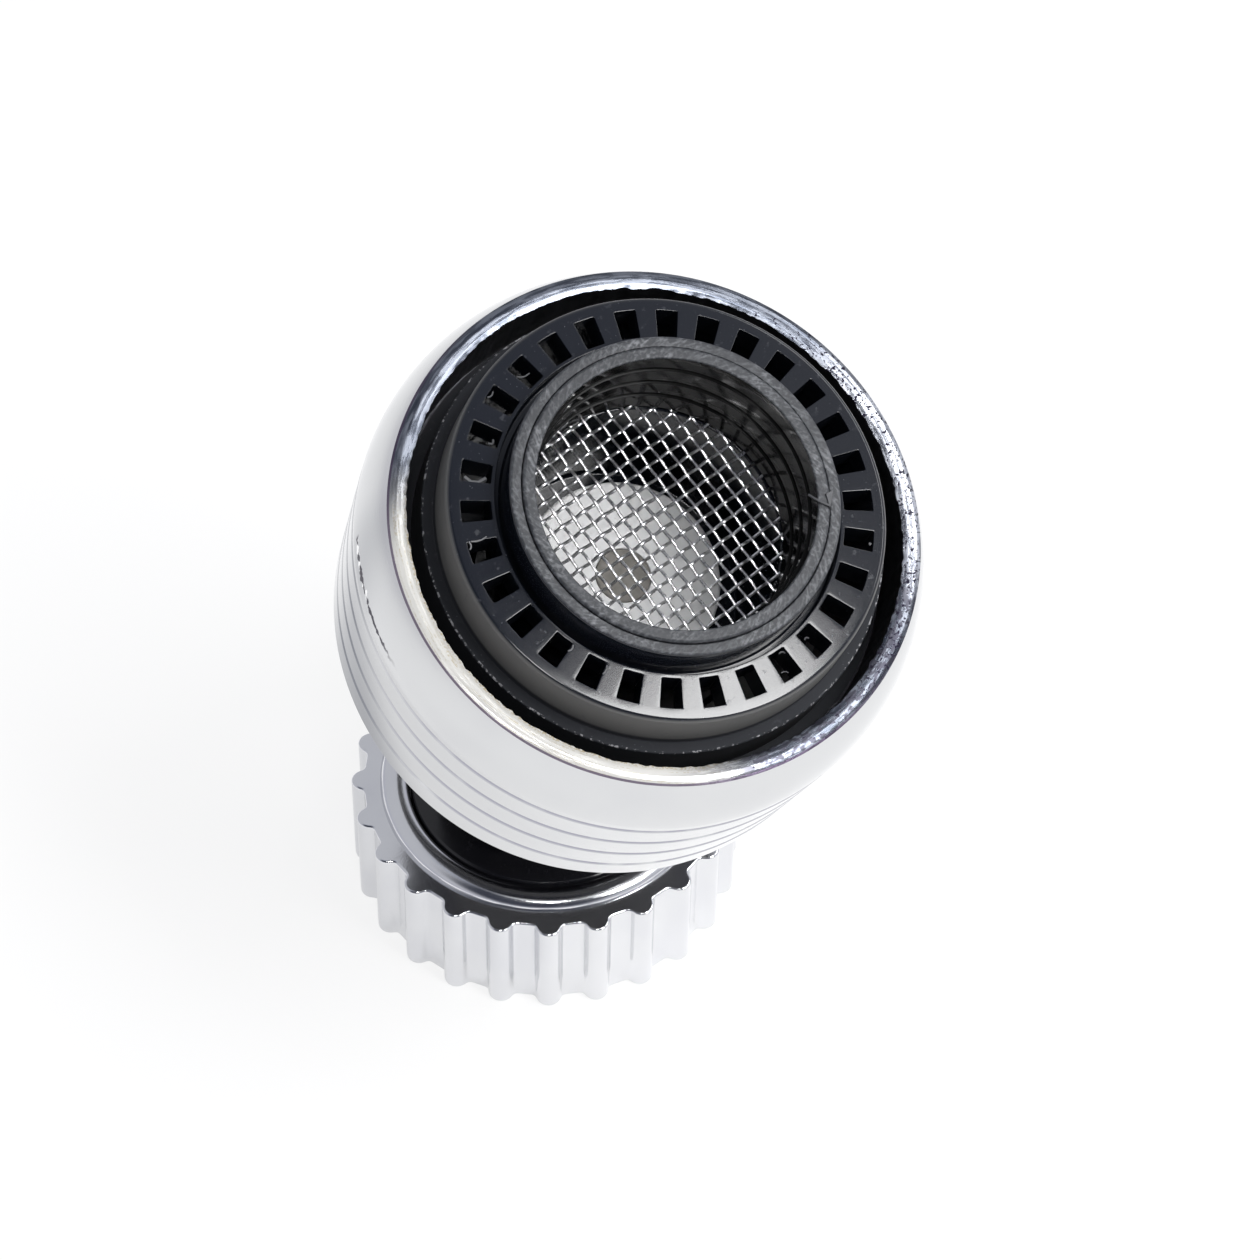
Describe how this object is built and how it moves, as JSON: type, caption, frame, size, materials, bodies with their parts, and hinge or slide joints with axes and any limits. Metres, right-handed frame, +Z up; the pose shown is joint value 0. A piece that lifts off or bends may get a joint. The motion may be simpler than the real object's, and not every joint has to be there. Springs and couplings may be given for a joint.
{
  "type": "swivel tap aerator",
  "caption": "Chrome swivel tap aerator: fluted nut, ball joint and a tilting head with a sliding grip shell, slotted dark core and woven steel outlet mesh.",
  "frame": {"origin": "centre of the nut's threaded mouth, on the face that the part stands on", "axes": "+Z up along the nut's axis, from the tap towards the ball; the head leans towards -Y and its tilt axis is X"},
  "size_m": [0.0356, 0.042, 0.0569],
  "materials": {
    "chrome_plating": "bright chrome plating over moulded plastic",
    "core_plastic": "satin dark grey moulding",
    "sleeve_plastic": "dark grey moulding with a tool-marked rim",
    "carrier_plastic": "black moulding",
    "bearing_plastic": "natural acetal",
    "white_plastic": "white moulding",
    "seal_rubber": "black rubber",
    "steel_wire": "bright stainless wire",
    "dull_metal": "dull grey-brown metal"
  },
  "bodies": {
    "nut": {"union_nut": "chrome_plating", "tap_washer": "seal_rubber", "inlet_strainer": "steel_wire", "slip_ring": "bearing_plastic"},
    "stem": {"ball_stem": "carrier_plastic"},
    "seat": {"ball_seat": "bearing_plastic", "ball_seal": "seal_rubber"},
    "tail": {"rear_cap": "carrier_plastic", "carrier": "carrier_plastic", "cap_seal": "seal_rubber", "slide_seal": "seal_rubber", "tube_seal": "seal_rubber", "valve_disc": "white_plastic", "valve_pin": "dull_metal"},
    "barrel": {"barrel_shell": "chrome_plating", "slotted_core": "core_plastic", "core_seal": "seal_rubber", "outlet_mesh": "steel_wire", "mesh_sleeve": "sleeve_plastic"}
  },
  "joints": [
    {"name": "stem_spin", "type": "hinge", "parent": "nut", "child": "stem", "pos_m": [0, 0, 0.0178], "axis": [0, 0, 1], "continuous": true},
    {"name": "head_tilt", "type": "hinge", "parent": "stem", "child": "seat", "pos_m": [0, 0, 0.0178], "axis": [1, 0, 0], "range_deg": [-48.4, 1.6]},
    {"name": "head_roll", "type": "hinge", "parent": "seat", "child": "tail", "pos_m": [0, 0, 0.0178], "axis": [0, -0.3972, 0.9178], "continuous": true},
    {"name": "mode_slide", "type": "slide", "parent": "tail", "child": "barrel", "axis": [0, -0.3972, 0.9178], "range_m": [0, 0.0034]}
  ]
}
